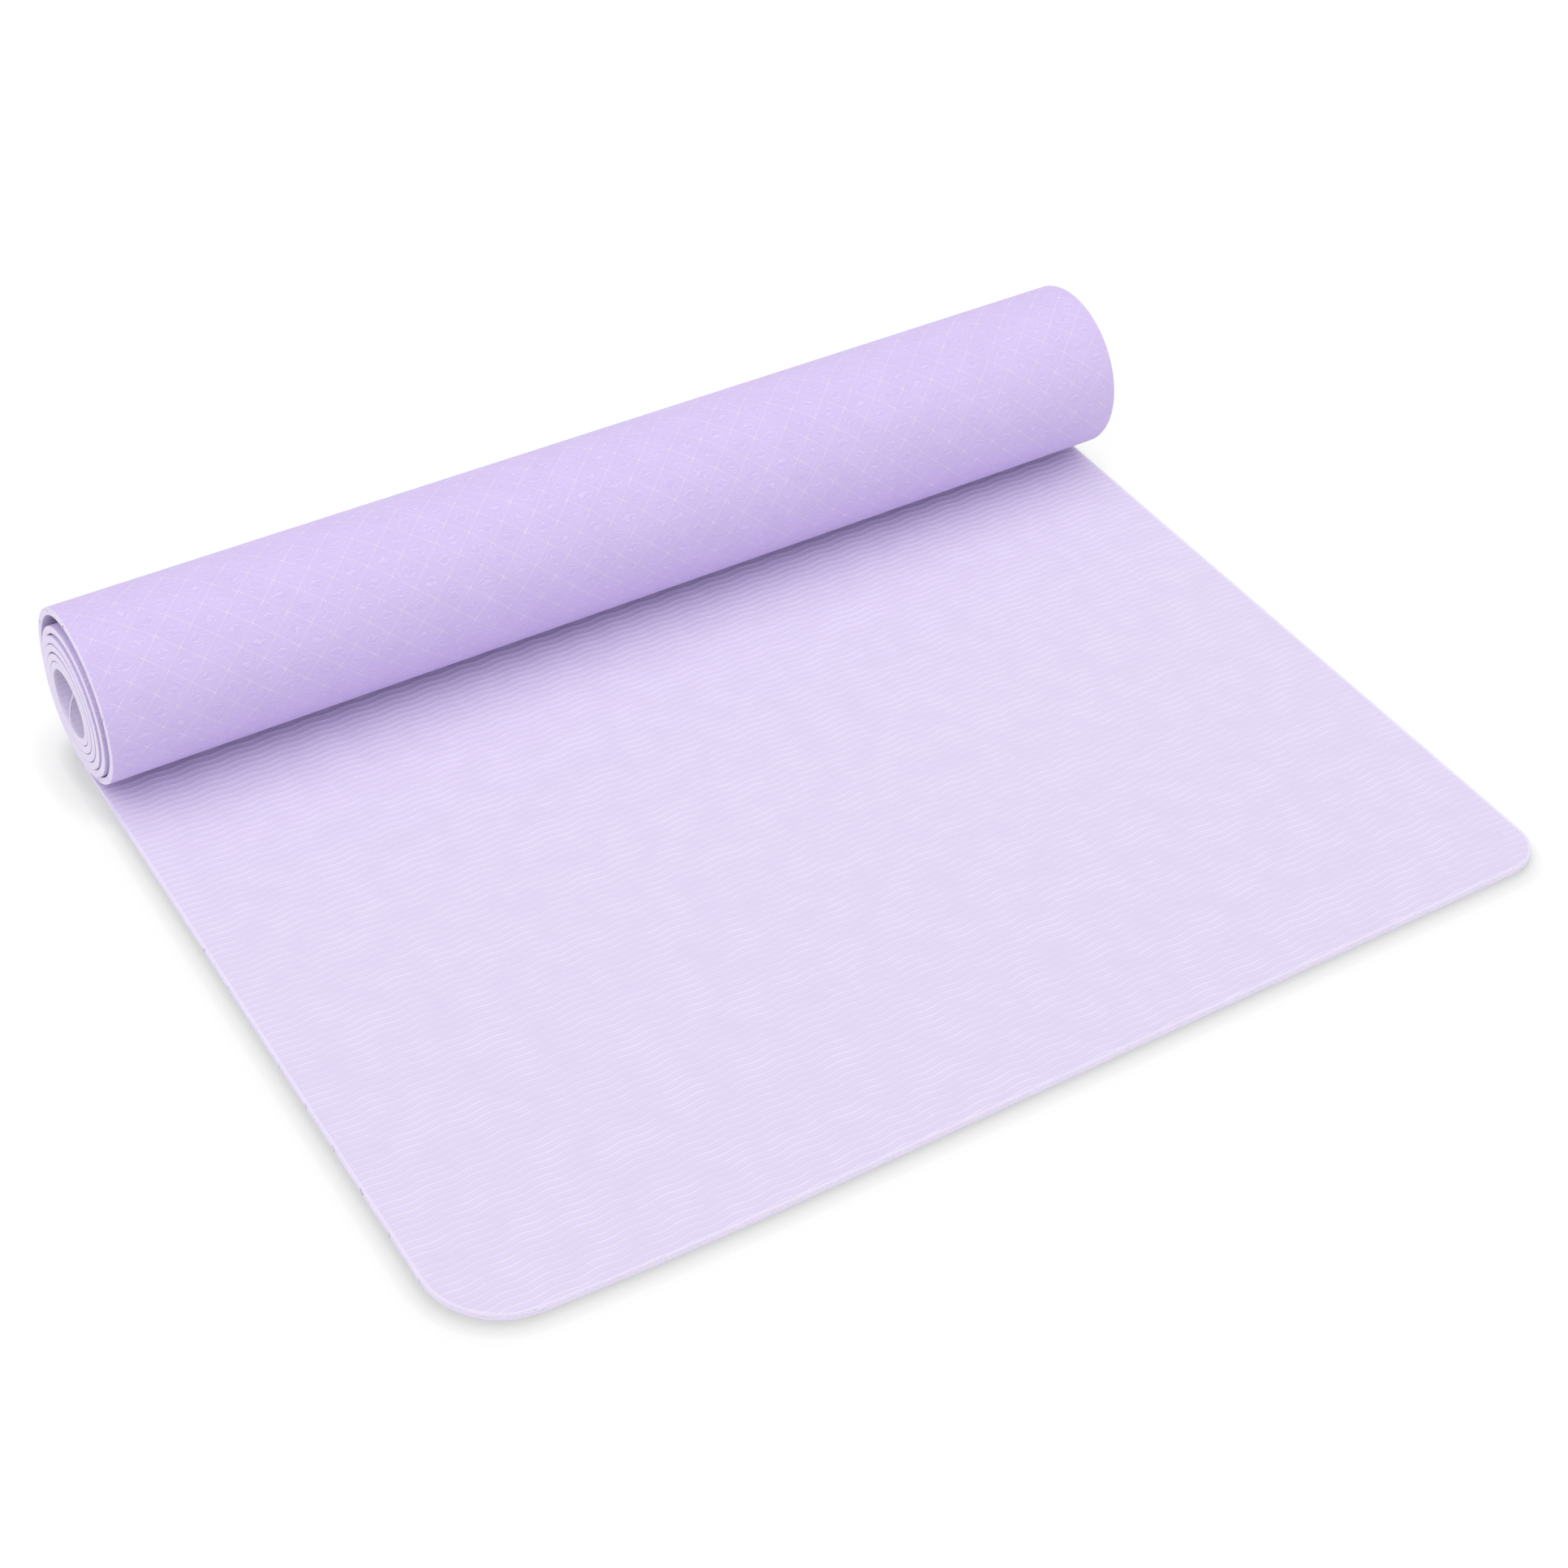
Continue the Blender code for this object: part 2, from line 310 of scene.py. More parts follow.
class FoamPiece:
    """One piece of the sheet, with a ribbed face, a quilted face and cut edges round them."""

    def __init__(self):
        self.points, self.normals, self.flat_places, self.edge_places = [], [], [], []
        self.count = 0
        self.quads = {"ribbed": [], "quilted": [], "cut": []}
        self.triangles = {"ribbed": [], "quilted": [], "cut": [], "inside": []}

    def add_points(self, points, normals, flat_places, edge_places):
        """Adds points with their places on the sheet, and gives their numbers."""
        self.points.append(points.reshape(-1, 3))
        self.normals.append(normals.reshape(-1, 3))
        self.flat_places.append(flat_places.reshape(-1, 2))
        self.edge_places.append(edge_places.reshape(-1, 2))
        numbers = np.arange(self.count, self.count + points.size // 3).reshape(points.shape[:-1])
        self.count += numbers.size
        return numbers

    def add_face(self, kind, bands):
        """A face from bands, each (columns, rows, heights, spare rows before, spare after)."""
        grids, places = [], []
        outward = 1 if kind == "ribbed" else -1
        for columns, rows, heights, before, after in bands:
            x, s = spread(columns, rows, rib_wave_depth if kind == "ribbed" else 0)
            height = heights(x, s) if callable(heights) else heights[:, None] + 0 * x
            if kind == "ribbed":
                height[:, [0, -1]] = rim_height
                if rows[0] == edge_round:
                    height[0] = rim_height
            points, normals = surface(x, s, height)
            keep = slice(before, len(rows) - after)
            x, s, height = x[keep], s[keep], height[keep]
            flat = np.stack([x, s], axis=-1)
            grids.append(self.add_points(points[keep], outward * normals[keep], flat, flat))
            places.append((x, s, height))
        for grid in grids:
            corners = [grid[:-1, :-1], grid[:-1, 1:], grid[1:, 1:], grid[1:, :-1]]
            if kind == "quilted":
                corners.reverse()
            self.quads[kind].append(np.stack(corners, axis=-1).reshape(-1, 4))
        for near, far in zip(grids[:-1], grids[1:]):
            stitched = join(self.shares(near[-1]), self.shares(far[0]))
            self.triangles[kind].append(stitched[:, ::-1] if kind == "ribbed" else stitched)
        return grids, places

    def shares(self, numbers):
        """Point numbers with the share of their line's length at each."""
        points = np.concatenate(self.points)[numbers]
        run = np.concatenate([[0], np.cumsum(np.linalg.norm(np.diff(points, axis=0), axis=1))])
        return numbers, run / run[-1]

    def side_line(self, face, column):
        """A face's points along one side, over all its bands: numbers, x, s and heights."""
        grids, places = face
        bands = [(grid, *place_parts) for grid, place_parts in zip(grids, places)]
        return [np.concatenate([part[:, column] for part in parts]) for parts in zip(*bands)]

    def border(self, face, front_end, inner_end):
        """The lines of points along a face's cut edges, with the face on their left."""
        grids, places = face
        left = [part[::-1] for part in self.side_line(face, 0)]
        right = self.side_line(face, -1)
        if front_end:
            end = [part[0] for part in (grids[0], *places[0])]
            lines = zip(left, end, right)
        elif inner_end:
            end = [part[-1][::-1] for part in (grids[-1], *places[-1])]
            lines = zip(right, end, left)
        else:
            return [left, right]
        return [[np.concatenate([first, middle[1:-1], last]) for first, middle, last in lines]]

    def add_rim(self, line, kind):
        """The rounded rim and half the wall along one border line, as rings from the face out."""
        numbers, x, s, height = line
        towards_end = np.where(s < sheet_length / 2, -1.0, 1.0)
        to_end = distance_to_end(x, s)
        radius = np.where(x < 0, left_corner_radius, right_corner_radius)
        out_x = np.sign(x) * np.maximum(np.abs(x) - (mat_width / 2 - radius), 0)
        out_s = towards_end * np.maximum(radius - to_end, 0)
        size = np.hypot(out_x, out_s)
        out_x, out_s = out_x / size, out_s / size
        along_y, along_z = direction_along(s)
        outward = np.stack([out_x, out_s * along_y, out_s * along_z], axis=-1)
        face_normals = np.concatenate(self.normals)[numbers]
        side = 1 if kind == "ribbed" else -1
        rings = [numbers]
        whole_wall = foam_thickness + edge_round
        for turn, at_seam in ((math.pi / 4, False), (math.pi / 2, False), (math.pi / 2, True)):
            out = edge_round * math.sin(turn)
            down = edge_round * (1 - math.cos(turn))
            level = height - side * down
            depth = edge_round * turn
            if at_seam:
                level = 0 * height + foam_thickness * (0.5 + seam_share * side)
                depth += foam_thickness / 2 - edge_round
            unfolded = depth if kind == "ribbed" else whole_wall - depth
            flat = np.stack([x, s], axis=-1)
            edge = np.stack([x + out_x * unfolded, s + out_s * unfolded], axis=-1)
            points = place(x + out_x * out, s + out_s * out, level)
            normals = face_normals * math.cos(turn) + outward * math.sin(turn)
            rings.append(self.add_points(points, normals, flat, edge))
        if kind == "quilted":
            edge_places = np.concatenate(self.edge_places)
            unfolded_face = [x + out_x * whole_wall, s + out_s * whole_wall]
            edge_places[numbers] = np.stack(unfolded_face, axis=-1)
            self.edge_places = [edge_places]
        for near, far in zip(rings[:-1], rings[1:]):
            corners = [near[:-1], far[:-1], far[1:], near[1:]]
            if kind == "quilted":
                corners.reverse()
            self.quads["cut"].append(np.stack(corners, axis=-1))
        return rings

    def close(self, ribbed, quilted, front_end=False, inner_end=False):
        """Adds the cut edges, and closes the piece where it meets its neighbours."""
        rims = []
        for kind, face in (("ribbed", ribbed), ("quilted", quilted)):
            lines = self.border(face, front_end, inner_end)
            rims.append([self.add_rim(line, kind) for line in lines])
        for upper, lower in zip(*rims):
            self.triangles["cut"].append(join(self.shares(upper[-1]), self.shares(lower[-1])))
        for at_back in (False, True):
            if (front_end and not at_back) or (inner_end and at_back):
                continue
            lines = []
            for (grids, _), rim in zip((ribbed, quilted), rims):
                row = grids[-1][-1] if at_back else grids[0][0]
                left_at, right_at = (0, -1) if at_back else (-1, 0)
                left_side = [ring[left_at] for ring in rim[0][:0:-1]]
                right_side = [ring[right_at] for ring in rim[-1][1:]]
                lines.append(np.concatenate([left_side, row, right_side]))
            cap = join(self.shares(lines[0]), self.shares(lines[1]))
            self.triangles["inside"].append(cap[:, ::-1] if at_back else cap)

    def make(self, name):
        """The Blender object, with places on the sheet in metres as its UV map."""
        kinds = ("ribbed", "quilted", "cut", "inside")
        cut, inside = kinds.index("cut"), kinds.index("inside")
        groups = [(kind, part) for kind in kinds for part in self.quads.get(kind, [])]
        groups += [(kind, part) for kind in kinds for part in self.triangles[kind]]
        points = np.concatenate(self.points)
        corners = np.concatenate([part.ravel() for _, part in groups])
        sizes = np.concatenate([np.full(len(part), part.shape[1]) for _, part in groups])
        kind_of = np.concatenate([np.full(len(part), kinds.index(kind)) for kind, part in groups])
        mesh = bpy.data.meshes.new(name)
        mesh.vertices.add(len(points))
        mesh.vertices.foreach_set("co", points.astype(np.float32).ravel())
        mesh.loops.add(len(corners))
        mesh.loops.foreach_set("vertex_index", corners.astype(np.int32))
        mesh.polygons.add(len(sizes))
        mesh.polygons.foreach_set("loop_start", (np.cumsum(sizes) - sizes).astype(np.int32))
        mesh.polygons.foreach_set("material_index", np.minimum(kind_of, cut).astype(np.int32))
        mesh.update(calc_edges=True)
        mesh.shade_smooth()
        corner_kind = np.repeat(kind_of, sizes)
        flat, edge = np.concatenate(self.flat_places), np.concatenate(self.edge_places)
        places = np.where((corner_kind >= cut)[:, None], edge[corners], flat[corners])
        sheet_metres = mesh.uv_layers.new(name="sheet_metres")
        sheet_metres.uv.foreach_set("vector", places.astype(np.float32).ravel())
        normals = np.concatenate(self.normals)[corners]
        at_inside = corner_kind == inside
        face_normals = np.empty(len(sizes) * 3, np.float32)
        mesh.polygons.foreach_get("normal", face_normals)
        flat_normals = np.repeat(face_normals.reshape(-1, 3), sizes, axis=0)
        normals[at_inside] = flat_normals[at_inside]
        mesh.normals_split_custom_set(normals.astype(np.float32))
        for material in (ribbed_foam, quilted_foam, cut_foam):
            mesh.materials.append(material)
        piece = bpy.data.objects.new(name, mesh)
        bpy.context.scene.collection.objects.link(piece)
        return piece


def nearest_valley(s):
    """The number of the rib whose valley behind it is nearest to s."""
    return round((s - first_rib) / rib_pitch - 0.5)


def nearest_quilt_row(s):
    """The number of the quilted face's row nearest to s."""
    return round(s / quilt_row)


# Rows are made from one rib too early to one too late, and all but one row of each are dropped.
# The one that stays gives the face's normals at the piece's end.
spare_rib_rows = 4


def sheet_piece(name, start, end):
    """A piece of the sheet from one s to another, cut at the nearest valley and quilt row."""
    piece = FoamPiece()
    rows = rib_rows(nearest_valley(start) - 1, nearest_valley(end) + 1)
    rows = rows[spare_rib_rows:-spare_rib_rows]
    ribbed = piece.add_face("ribbed", [(rib_columns, rows[:, 0], rows[:, 1], 1, 1)])
    rows = quilt_rows(nearest_quilt_row(start) - 1, nearest_quilt_row(end) + 1)
    quilted = piece.add_face("quilted", [(quilt_columns, rows, quilt_height, 1, 1)])
    piece.close(ribbed, quilted)
    return piece.make(name)


def add_node(tree, kind, **settings):
    """A shader node with its settings."""
    made = tree.nodes.new(kind)
    for name, value in settings.items():
        setattr(made, name, value)
    return made


def number(tree, operation, first, second=None, third=None):
    """A Math node's value, from numbers or other nodes' values."""
    made = add_node(tree, "ShaderNodeMath", operation=operation)
    for socket, value in zip(made.inputs, (first, second, third)):
        if isinstance(value, bpy.types.NodeSocket):
            tree.links.new(value, socket)
        elif value is not None:
            socket.default_value = value
    return made.outputs[0]


def ramp(tree, value, from_low, from_high, to_low, to_high):
    """A value carried smoothly from one range to another."""
    made = add_node(tree, "ShaderNodeMapRange", interpolation_type="SMOOTHSTEP")
    tree.links.new(value, made.inputs["Value"])
    made.inputs["From Min"].default_value = from_low
    made.inputs["From Max"].default_value = from_high
    made.inputs["To Min"].default_value = to_low
    made.inputs["To Max"].default_value = to_high
    return made.outputs["Result"]


def blend_colour(tree, share, first, second):
    """Two colours mixed by a share."""
    made = add_node(tree, "ShaderNodeMix", data_type="RGBA")
    tree.links.new(share, made.inputs["Factor"])
    colour_sockets = [socket for socket in made.inputs if socket.type == "RGBA"]
    for socket, value in zip(colour_sockets, (first, second)):
        if isinstance(value, bpy.types.NodeSocket):
            tree.links.new(value, socket)
        else:
            socket.default_value = value
    return next(socket for socket in made.outputs if socket.type == "RGBA")


def noise(tree, place_on_sheet, scale, detail, roughness=0.5):
    """Cloudy noise over the sheet, so many spots to the metre."""
    made = add_node(tree, "ShaderNodeTexNoise")
    tree.links.new(place_on_sheet, made.inputs["Vector"])
    made.inputs["Scale"].default_value = scale
    made.inputs["Detail"].default_value = detail
    made.inputs["Roughness"].default_value = roughness
    return made.outputs[0]


patches_per_metre = 55
cells_per_metre = 1900
# Nearly all of the noise's values lie between these
noise_low, noise_high = 0.3, 0.7


def make_skin_group():
    """The skin of closed-cell foam: soft patches of tone, and a fine grain of cells."""
    group = bpy.data.node_groups.new("foam skin", "ShaderNodeTree")
    group.interface.new_socket("Place", in_out="INPUT", socket_type="NodeSocketVector")
    group.interface.new_socket("Patches", in_out="OUTPUT", socket_type="NodeSocketFloat")
    group.interface.new_socket("Grain", in_out="OUTPUT", socket_type="NodeSocketFloat")
    entry, result = add_node(group, "NodeGroupInput"), add_node(group, "NodeGroupOutput")
    patches = noise(group, entry.outputs["Place"], patches_per_metre, 3, 0.55)
    grain = noise(group, entry.outputs["Place"], cells_per_metre, 3, 0.6)
    group.links.new(patches, result.inputs["Patches"])
    group.links.new(grain, result.inputs["Grain"])
    return group


skin_group = make_skin_group()


# The skin is matt, with a faint sheen
foam_gloss = 0.2
foam_sheen = 0.08
foam_sheen_roughness = 0.5


def start_foam(name):
    """A foam material with its shader, its place on the sheet, and the skin group."""
    material = bpy.data.materials.new(name)
    material.use_nodes = True
    tree = material.node_tree
    shader = tree.nodes["Principled BSDF"]
    shader.inputs["Specular IOR Level"].default_value = foam_gloss
    shader.inputs["Sheen Weight"].default_value = foam_sheen
    shader.inputs["Sheen Roughness"].default_value = foam_sheen_roughness
    places = add_node(tree, "ShaderNodeUVMap", uv_map="sheet_metres").outputs[0]
    skin = add_node(tree, "ShaderNodeGroup", node_tree=skin_group)
    tree.links.new(places, skin.inputs["Place"])
    return material, tree, shader, places, skin


def finish_foam(tree, skin, shader, colour, height, depth, smoothest, roughest):
    """Joins a foam's colour, its fine relief and its roughness to its shader."""
    grain = skin.outputs["Grain"]
    roughness = ramp(tree, grain, noise_low, noise_high, smoothest, roughest)
    tree.links.new(colour, shader.inputs["Base Color"])
    tree.links.new(roughness, shader.inputs["Roughness"])
    bump = add_node(tree, "ShaderNodeBump")
    bump.inputs["Distance"].default_value = depth
    bump.inputs["Strength"].default_value = 1.0
    tree.links.new(height, bump.inputs["Height"])
    tree.links.new(bump.outputs[0], shader.inputs["Normal"])


def tone(tree, skin, colour, darkest, lightest):
    """A colour made a little lighter and darker in the skin's soft patches."""
    made = add_node(tree, "ShaderNodeHueSaturation")
    value = ramp(tree, skin.outputs["Patches"], noise_low, noise_high, darkest, lightest)
    tree.links.new(value, made.inputs["Value"])
    tree.links.new(colour, made.inputs["Color"])
    return made.outputs[0]


def distance_from_cut(tree, x, s):
    """How far a place is from the cut edge, on the front end's outline with its two corners."""
    across = number(tree, "DIVIDE", number(tree, "ADD", x, mat_width / 2), front_bow_width)
    left_share = number(tree, "MAXIMUM", number(tree, "SUBTRACT", 1, across), 0)
    bow = number(tree, "MULTIPLY", number(tree, "POWER", left_share, 2), front_bow)
    to_end = number(tree, "SUBTRACT", s, bow)
    on_right = number(tree, "GREATER_THAN", x, 0)
    right_less_left = right_corner_radius - left_corner_radius
    radius = number(tree, "MULTIPLY_ADD", on_right, right_less_left, left_corner_radius)
    past_side = number(tree, "SUBTRACT", number(tree, "ABSOLUTE", x), mat_width / 2)
    past_side = number(tree, "ADD", past_side, radius)
    past_end = number(tree, "SUBTRACT", radius, to_end)
    inside = [number(tree, "MAXIMUM", past, 0) for past in (past_side, past_end)]
    squares = [number(tree, "POWER", past, 2) for past in inside]
    in_corner = number(tree, "SQRT", number(tree, "ADD", *squares))
    before_corner = number(tree, "MINIMUM", number(tree, "MAXIMUM", past_side, past_end), 0)
    return number(tree, "SUBTRACT", number(tree, "SUBTRACT", radius, in_corner), before_corner)


# The ribbed face has its own lavender in its valleys, and a painted highlight on its crests and
# along its rim. The painted highlight fades out between two distances from a crest's middle, or
# from the cut edge.
crest_highlight_colour = (0.82, 0.77, 0.92, 1)
valley_colour = (0.735, 0.655, 0.87, 1)
rim_highlight_colour = (0.81, 0.755, 0.93, 1)
crest_highlight_fade = (0.00014, 0.00056)
rim_highlight_fade = (0.0012, 0.0016)
faint_crest_highlight = 0.45
ribbed_tones = (0.99, 1.01)
ribbed_relief = 0.00006
face_roughness = (0.70, 0.84)


def make_ribbed_foam():
    """The ribbed face: its own lavender, with a painted highlight on the crests that wave across
    it.
    """
    material, tree, shader, places, skin = start_foam("ribbed foam")
    apart = add_node(tree, "ShaderNodeSeparateXYZ")
    tree.links.new(places, apart.inputs[0])
    turn = number(tree, "MULTIPLY", apart.outputs[0], 2 * math.pi / rib_wave_length)
    wave = number(tree, "MULTIPLY", number(tree, "SINE", turn), rib_wave_depth)
    along = number(tree, "SUBTRACT", apart.outputs[1], wave)
    ribs = number(tree, "DIVIDE", number(tree, "SUBTRACT", along, first_rib), rib_pitch)
    off_crest = number(tree, "MULTIPLY", number(tree, "PINGPONG", ribs, 0.5), rib_pitch)
    # A painted highlight on each crest, fainter in some of the skin's patches
    crest = ramp(tree, off_crest, *crest_highlight_fade, 1, 0)
    strength = ramp(tree, skin.outputs["Patches"], 0.35, 0.65, faint_crest_highlight, 1)
    crest = number(tree, "MULTIPLY", crest, strength)
    colour = blend_colour(tree, crest, valley_colour, crest_highlight_colour)
    # A painted highlight along the rim beside the cut edge
    rim = ramp(tree, distance_from_cut(tree, *apart.outputs[:2]), *rim_highlight_fade, 1, 0)
    colour = blend_colour(tree, rim, colour, rim_highlight_colour)
    colour = tone(tree, skin, colour, *ribbed_tones)
    grain = skin.outputs["Grain"]
    finish_foam(tree, skin, shader, colour, grain, ribbed_relief, *face_roughness)
    return material


# The quilted face has dotted light lines round its diamonds, strongest where two lines cross, and
# fine light strokes inside them.
quilt_colour = (0.67, 0.545, 0.89, 1)
stitch_colour = (0.93, 0.89, 0.98, 1)
stitch_light = (0.0001, 0.0007)
stitches_per_diamond = 9
stitch_strength = 0.90
crossing_reach = (0.05, 0.40)
faint_stitch = 0.45
missing_stitch = 0.35
specks_per_metre = 900
stroke_pitch = 0.0011
stroke_strength = 0.30
stroke_swirl = 2.2
stroke_bend = 2.6
bends_per_metre = 150
faint_stroke = 0.3
gaps_per_metre = 420
quilted_tones = (0.985, 1.015)
quilted_relief = 0.00010
grain_share, stroke_share = 0.4, 0.6


def make_quilted_foam():
    """The quilted face: diamonds edged by dotted lines, with strokes like a fingerprint in them."""
    material, tree, shader, places, skin = start_foam("quilted foam")
    apart = add_node(tree, "ShaderNodeSeparateXYZ")
    tree.links.new(places, apart.inputs[0])
    across = number(tree, "DIVIDE", apart.outputs[0], diamond_width)
    along = number(tree, "DIVIDE", apart.outputs[1], diamond_length)
    sums = (number(tree, "ADD", across, along), number(tree, "SUBTRACT", across, along))
    line_step = math.hypot(diamond_width, diamond_length) / 2
    specks = noise(tree, places, specks_per_metre, 1)
    specks = ramp(tree, specks, 0.36, 0.60, missing_stitch, 1)
    dotted = []
    for first, second in (sums, sums[::-1]):
        off_line = number(tree, "MULTIPLY", number(tree, "PINGPONG", first, 0.5), line_step)
        line = ramp(tree, off_line, *stitch_light, 1, 0)
        stitches = number(tree, "MULTIPLY", second, 2 * math.pi * stitches_per_diamond)
        dots = ramp(tree, number(tree, "SINE", stitches), -0.2, 0.9, 0, 1)
        off_crossing = number(tree, "PINGPONG", second, 0.5)
        near_crossing = ramp(tree, off_crossing, *crossing_reach, 1, faint_stitch)
        faded = number(tree, "MULTIPLY", near_crossing, specks)
        dotted.append(number(tree, "MULTIPLY", number(tree, "MULTIPLY", line, dots), faded))
    dots = number(tree, "MAXIMUM", *dotted)
    # The strokes run across the mat and turn aside as they near the lines
    turned_across = number(tree, "COSINE", number(tree, "MULTIPLY", across, 2 * math.pi))
    turned_along = number(tree, "SINE", number(tree, "MULTIPLY", along, 2 * math.pi))
    swirl = number(tree, "MULTIPLY", turned_across, turned_along)
    swirl = number(tree, "MULTIPLY", swirl, stroke_swirl)
    stroke_count = number(tree, "DIVIDE", apart.outputs[1], stroke_pitch)
    bent = number(tree, "MULTIPLY", noise(tree, places, bends_per_metre, 2), stroke_bend)
    phase = number(tree, "ADD", number(tree, "ADD", stroke_count, swirl), bent)
    stroke = number(tree, "SINE", number(tree, "MULTIPLY", phase, 2 * math.pi))
    stroke = ramp(tree, stroke, -0.4, 1.0, 0, 1)
    gaps = noise(tree, places, gaps_per_metre, 1)
    fading = ramp(tree, gaps, 0.35, 0.65, faint_stroke, 1)
    stroke = number(tree, "MULTIPLY", stroke, fading)
    light_dots = number(tree, "MULTIPLY", dots, stitch_strength)
    light = number(tree, "ADD", light_dots, number(tree, "MULTIPLY", stroke, stroke_strength))
    colour = blend_colour(tree, light, quilt_colour, stitch_colour)
    colour = tone(tree, skin, colour, *quilted_tones)
    height = number(tree, "MULTIPLY", skin.outputs["Grain"], grain_share)
    height = number(tree, "ADD", height, number(tree, "MULTIPLY", stroke, stroke_share))
    height = number(tree, "ADD", height, dots)
    finish_foam(tree, skin, shader, colour, height, quilted_relief, *face_roughness)
    return material


# The cut edge is the palest: partly its own colour, because the die opens the foam's cells, and
# partly a painted highlight on the cut edges
cut_colour_and_highlight = (0.87, 0.80, 0.98, 1)
open_cell_colour = (0.83, 0.745, 0.96, 1)
open_cells_per_metre = 2200
cut_tones = (0.985, 1.015)
open_cell_relief = -0.00008
cut_roughness = (0.78, 0.9)


def make_cut_foam():
    """The die-cut edge: paler, partly by a painted highlight, with the foam's cells cut open."""
    material, tree, shader, places, skin = start_foam("cut foam edge")
    cells = add_node(tree, "ShaderNodeTexVoronoi", feature="F1")
    tree.links.new(places, cells.inputs["Vector"])
    cells.inputs["Scale"].default_value = open_cells_per_metre
    open_cell = ramp(tree, cells.outputs["Distance"], 0.1, 0.6, 1, 0)
    # The cut colour holds a painted highlight as well as the foam's own paler colour
    colour = blend_colour(tree, open_cell, cut_colour_and_highlight, open_cell_colour)
    colour = tone(tree, skin, colour, *cut_tones)
    finish_foam(tree, skin, shader, colour, open_cell, open_cell_relief, *cut_roughness)
    return material


ribbed_foam = make_ribbed_foam()
quilted_foam = make_quilted_foam()
cut_foam = make_cut_foam()

# This stretch ends half a bend short of where the front curls up, and a little short of the line
# where the roll starts to open
curling_length = 0.290
bend_length = 0.029
opening_start_degrees = 17
roll_bend_reach = 0.0085

floor_start = curling_length + bend_length / 2
floor_end = length_at(opening_start_degrees) - roll_bend_reach
floor_stretch = sheet_piece("floor_stretch", floor_start, floor_end)
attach(floor_stretch, "floor_strip")
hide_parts("floor_strip")

# ---------------------------------------------------------------------------------------------
# The front end: the same foam, ribs up, made as ten short pieces in front of the stretch on
# the floor. It is one sheet with the stretch behind it, so nothing but the foam joins the two.
# ---------------------------------------------------------------------------------------------
front_bend_count = 10
front_spans = [f"front_span_{span:02d}" for span in range(1, front_bend_count)]
front_bodies = ["floor_strip", *front_spans, "front_edge_span"]
for bend in range(front_bend_count):
    middle = curling_length - bend_length * bend
    name = f"front_bend_{bend + 1:02d}"
    piece = sheet_piece(name, middle - bend_length / 2, middle + bend_length / 2)
    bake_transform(piece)
    if front_bodies[bend + 1] in front_spans:
        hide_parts(front_bodies[bend + 1])

# ---------------------------------------------------------------------------------------------
# The front edge: the die-cut end of the mat, in the same foam, with a wide round at its left
# corner and a tighter one at its right. The front end runs on into it without a seam.
# ---------------------------------------------------------------------------------------------
front_edge = FoamPiece()
fine_step = 0.0003
fine_row_count = round(front_edge_length / fine_step)
edge_rows = np.linspace(edge_round, front_edge_length, fine_row_count)
edge_rows = np.append(edge_rows, front_edge_length + fine_step)
edge_ribs = front_edge.add_face("ribbed", [(rib_columns, edge_rows, rib_height, 0, 1)])
edge_rows = quilt_rows(0, nearest_quilt_row(bend_length / 2) + 1, from_front=True)
edge_quilt = front_edge.add_face("quilted", [(quilt_columns, edge_rows, quilt_height, 0, 1)])
front_edge.close(edge_ribs, edge_quilt, front_end=True)
front_edge = front_edge.make("front_edge")
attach(front_edge, "front_edge_span")
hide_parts("front_edge_span")

# ---------------------------------------------------------------------------------------------
# The roll's outer turn: the same foam, wound by hand with its quilted face out, made as
# thirteen short pieces along the winding.
# ---------------------------------------------------------------------------------------------
bend_degrees = 30
opening_span_count = 12
last_bend_reach = 0.0095
outer_spans = [f"outer_turn_span_{span:02d}" for span in range(1, opening_span_count + 1)]
outer_bodies = ["floor_strip", *outer_spans, "inner_coil"]
cuts = [floor_end]
for bend in range(opening_span_count):
    cuts.append(length_at(opening_start_degrees + bend_degrees * (bend + 0.5)))
last_bend_degrees = opening_start_degrees + bend_degrees * opening_span_count
cuts.append(length_at(last_bend_degrees) + last_bend_reach)
for bend in range(opening_span_count + 1):
    piece = sheet_piece(f"outer_bend_{bend + 1:02d}", cuts[bend], cuts[bend + 1])
    middle = length_at(opening_start_degrees + bend_degrees * bend)
    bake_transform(piece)
    if outer_bodies[bend + 1] in outer_spans:
        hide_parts(outer_bodies[bend + 1])

# ---------------------------------------------------------------------------------------------
# The inner turns: the same foam, wound more tightly, which stays wound out to the die-cut inner
# end inside the bore. Its ribs and quilting are plain in the mesh where no eye can reach them.
# ---------------------------------------------------------------------------------------------
inner_turns = FoamPiece()
coil_start = cuts[-1]
ribs_shown_from_degrees = 1900
quilting_shown_to_degrees = 740
past_inner_end = 3
last_valley = nearest_valley(sheet_length) + past_inner_end
coil_ribs = rib_rows(nearest_valley(coil_start) - 1, last_valley, to_inner_end=True)
coil_ribs = coil_ribs[spare_rib_rows:]
hidden = coil_ribs[:, 0] < length_at(ribs_shown_from_degrees)
hidden_rows = coil_ribs[hidden]
shown_rows = coil_ribs[~hidden]
inner_ribs = inner_turns.add_face(
    "ribbed",
    [
        (plain_columns, hidden_rows[:, 0], hidden_rows[:, 1], 1, 0),
        (rib_columns, shown_rows[:, 0], shown_rows[:, 1], 0, 0),
    ],
)
last_fine_row = nearest_quilt_row(length_at(quilting_shown_to_degrees))
last_row = nearest_quilt_row(sheet_length) + 1
fine_rows = quilt_rows(nearest_quilt_row(coil_start) - 1, last_fine_row)
plain_rows = quilt_rows(last_fine_row + 1, last_row, to_inner_end=True)
